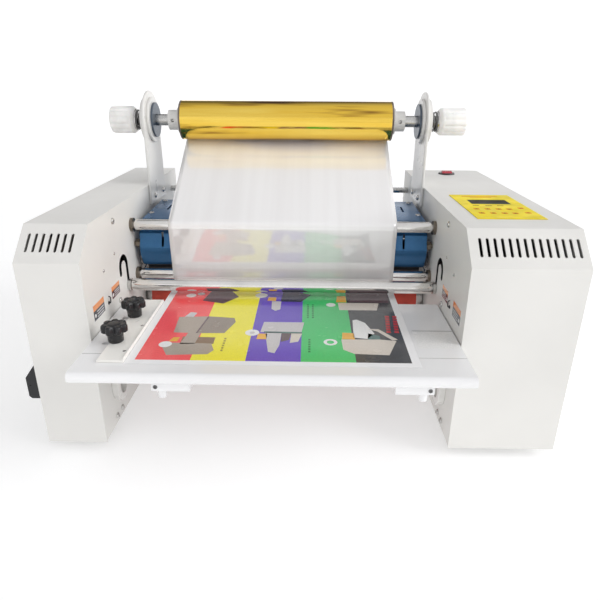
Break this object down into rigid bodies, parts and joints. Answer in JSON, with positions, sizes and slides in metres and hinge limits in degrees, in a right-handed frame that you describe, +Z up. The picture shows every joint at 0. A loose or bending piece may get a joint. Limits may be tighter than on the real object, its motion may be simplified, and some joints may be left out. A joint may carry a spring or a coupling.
{
  "type": "hot foil stamper",
  "caption": "Desktop hot-roller foil stamper: two housings, heated and silicone rollers, foil roll on raised arms, guide bars, feed tray and keypad.",
  "frame": {"origin": "bottom centre of the bounding box, on the plane the rubber feet stand on", "axes": "+X to the operator's right along the rollers, +Y from the feed tray to the exit, +Z up"},
  "size_m": [0.6244, 0.504, 0.394],
  "materials": {
    "powder_white": "semi-gloss warm-white powder coat",
    "galvanised": "light grey primed sheet",
    "hood_blue": "glossy metallic blue coat",
    "rubber_dark": "matt",
    "steel": "turned and lightly oiled",
    "steel_bar": "polished ground bar",
    "white_cast": "smooth white enamel",
    "cap_grey": "dark grey moulding",
    "bronze": "sintered bronze",
    "bearing_steel": "ground",
    "quartz": "frosted quartz tube",
    "motor_dark": "black enamel",
    "belt_black": "matt toothed belt",
    "fan_black": "fine moulded texture",
    "pcb_green": "solder resist",
    "psu_alu": "plain folded",
    "keypad_yellow": "printed membrane",
    "display_black": "dark window",
    "black_plastic": "fine moulded texture",
    "switch_red": "clear red moulding",
    "film_clear": "milky carrier film",
    "core_dark": "wound tube",
    "foil_gold": "mirror-bright gold hot-stamping foil",
    "knob_white": "moulded",
    "spring_steel": "dark oiled spring wire",
    "roller_dark": "non-stick coated",
    "gear_steel": "hobbed, greased",
    "silicone_red": "ground silicone",
    "tray_white": "laminated board",
    "guide_cream": "cream enamel",
    "print_paper": "colour-printed sheet"
  },
  "bodies": {
    "frame": {"left_side_plate": "powder_white", "right_side_plate": "powder_white", "left_cover": "powder_white", "right_cover": "powder_white", "base_plates": "galvanised", "rubber_feet": "rubber_dark", "tie_bars": "steel", "heater_hood": "hood_blue", "supply_arms": "white_cast", "bearing_flanges": "white_cast", "bearing_caps": "cap_grey", "shaft_bushes": "bronze", "frame_bearings": "bearing_steel", "heater_tube": "quartz", "drive_motor": "motor_dark", "drive_belt": "belt_black", "rear_panel": "powder_white", "fan_frame": "fan_black", "control_board": "pcb_green", "power_supply": "psu_alu", "keypad_panel": "keypad_yellow", "display_window": "display_black", "switch_bezel": "black_plastic", "power_inlet": "black_plastic", "film_web": "film_clear", "lower_cradles": "white_cast", "tray_ledges": "galvanised", "machine_screws": "steel"},
    "supply": {"supply_shaft": "steel", "core_chucks": "white_cast", "foil_core": "core_dark", "foil_roll": "foil_gold", "friction_discs": "white_cast", "tension_springs": "spring_steel"},
    "left_cup": {"left_spring_cup": "steel"},
    "right_cup": {"right_spring_cup": "steel"},
    "left_knob": {"left_tension_knob": "knob_white"},
    "right_knob": {"right_tension_knob": "knob_white"},
    "upper_bar": {"upper_guide_bar": "steel_bar"},
    "mid_bar": {"mid_guide_bar": "steel_bar"},
    "front_bar": {"front_bar_shaft": "steel"},
    "front_sleeve": {"front_bar_sleeve": "steel_bar"},
    "heat_drive": {"heat_roller": "roller_dark", "heat_roller_gear": "gear_steel"},
    "rocker": {"rocker_arms": "galvanised"},
    "lower_drive": {"lower_roller_core": "steel", "lower_roller_sleeve": "silicone_red", "lower_roller_gear": "gear_steel"},
    "pressure_cam": {"cam_shaft": "steel", "pressure_handle": "black_plastic"},
    "pinion": {"motor_pinion": "gear_steel"},
    "pull_upper": {"upper_pull_roller": "roller_dark"},
    "pull_lower": {"lower_pull_roller": "roller_dark"},
    "tray": {"feed_tray": "tray_white"},
    "guide": {"edge_guide": "guide_cream"},
    "front_star": {"front_star_knob": "black_plastic"},
    "rear_star": {"rear_star_knob": "black_plastic"},
    "sheet": {"printed_sheet": "print_paper"},
    "switch_rocker": {"rocker_switch": "switch_red"},
    "fan": {"fan_rotor": "fan_black"}
  },
  "joints": [
    {"name": "supply_spin", "type": "hinge", "parent": "frame", "child": "supply", "pos_m": [-0.011, 0.122, 0.354], "axis": [1, 0, 0], "continuous": true},
    {"name": "left_cup_slide", "type": "slide", "parent": "supply", "child": "left_cup", "axis": [-1, 0, 0], "range_m": [0, 0.003]},
    {"name": "left_knob_turn", "type": "hinge", "parent": "left_cup", "child": "left_knob", "pos_m": [-0.241, 0.122, 0.354], "axis": [-1, 0, 0], "range_deg": [0, 720]},
    {"name": "right_cup_slide", "type": "slide", "parent": "supply", "child": "right_cup", "axis": [1, 0, 0], "range_m": [0, 0.003]},
    {"name": "right_knob_turn", "type": "hinge", "parent": "right_cup", "child": "right_knob", "pos_m": [0.224, 0.122, 0.354], "axis": [1, 0, 0], "range_deg": [0, 720]},
    {"name": "upper_bar_spin", "type": "hinge", "parent": "frame", "child": "upper_bar", "pos_m": [-0.011, -0.01, 0.231], "axis": [1, 0, 0], "continuous": true},
    {"name": "mid_bar_spin", "type": "hinge", "parent": "frame", "child": "mid_bar", "pos_m": [-0.011, -0.006, 0.162], "axis": [1, 0, 0], "continuous": true},
    {"name": "front_bar_lift", "type": "slide", "parent": "frame", "child": "front_bar", "axis": [0, 0, 1], "range_m": [0, 0.028]},
    {"name": "front_bar_spin", "type": "hinge", "parent": "front_bar", "child": "front_sleeve", "pos_m": [-0.011, -0.044, 0.16], "axis": [1, 0, 0], "continuous": true},
    {"name": "heat_roller_spin", "type": "hinge", "parent": "frame", "child": "heat_drive", "pos_m": [-0.011, 0.032, 0.1745], "axis": [1, 0, 0], "continuous": true},
    {"name": "pinion_spin", "type": "hinge", "parent": "frame", "child": "pinion", "pos_m": [0.209, 0.07115, 0.19167], "axis": [1, 0, 0], "continuous": true},
    {"name": "upper_pull_spin", "type": "hinge", "parent": "frame", "child": "pull_upper", "pos_m": [-0.011, 0.195, 0.163], "axis": [1, 0, 0], "continuous": true},
    {"name": "lower_pull_spin", "type": "hinge", "parent": "frame", "child": "pull_lower", "pos_m": [-0.011, 0.195, 0.129], "axis": [1, 0, 0], "continuous": true},
    {"name": "handle_turn", "type": "hinge", "parent": "frame", "child": "pressure_cam", "pos_m": [-0.011, -0.135, 0.087], "axis": [1, 0, 0], "range_deg": [0, 90]},
    {"name": "rocker_tilt", "type": "hinge", "parent": "frame", "child": "rocker", "pos_m": [-0.011, 0.11, 0.117], "axis": [1, 0, 0], "range_deg": [0, 1.2]},
    {"name": "lower_roller_spin", "type": "hinge", "parent": "rocker", "child": "lower_drive", "pos_m": [-0.011, 0.032, 0.1175], "axis": [1, 0, 0], "continuous": true},
    {"name": "tray_pull", "type": "slide", "parent": "frame", "child": "tray", "axis": [0, -1, 0], "range_m": [0, 0.06]},
    {"name": "guide_slide", "type": "slide", "parent": "tray", "child": "guide", "axis": [-1, 0, 0], "range_m": [0, 0.012]},
    {"name": "front_star_turn", "type": "hinge", "parent": "guide", "child": "front_star", "pos_m": [-0.181, -0.186, 0.152], "axis": [0, 0, 1], "range_deg": [0, 360]},
    {"name": "rear_star_turn", "type": "hinge", "parent": "guide", "child": "rear_star", "pos_m": [-0.181, -0.12, 0.152], "axis": [0, 0, 1], "range_deg": [0, 360]},
    {"name": "sheet_feed", "type": "slide", "parent": "tray", "child": "sheet", "axis": [0, 1, 0], "range_m": [-0.06, 0.045]},
    {"name": "switch_tip", "type": "hinge", "parent": "frame", "child": "switch_rocker", "pos_m": [0.251, 0.211, 0.265], "axis": [1, 0, 0], "range_deg": [-24, 0]},
    {"name": "fan_spin", "type": "hinge", "parent": "frame", "child": "fan", "pos_m": [-0.011, 0.23, 0.068], "axis": [0, 1, 0], "continuous": true}
  ],
  "couplings": [
    {"joint": "left_cup_slide", "follows": "left_knob_turn", "m_per_rad": 0.00023873},
    {"joint": "right_cup_slide", "follows": "right_knob_turn", "m_per_rad": 0.00023873},
    {"joint": "lower_roller_spin", "follows": "heat_roller_spin", "ratio": -1},
    {"joint": "pinion_spin", "follows": "heat_roller_spin", "ratio": -2},
    {"joint": "upper_pull_spin", "follows": "heat_roller_spin", "ratio": 1.697},
    {"joint": "lower_pull_spin", "follows": "heat_roller_spin", "ratio": -1.697},
    {"joint": "rocker_tilt", "follows": "handle_turn", "ratio": 0.012125}
  ]
}
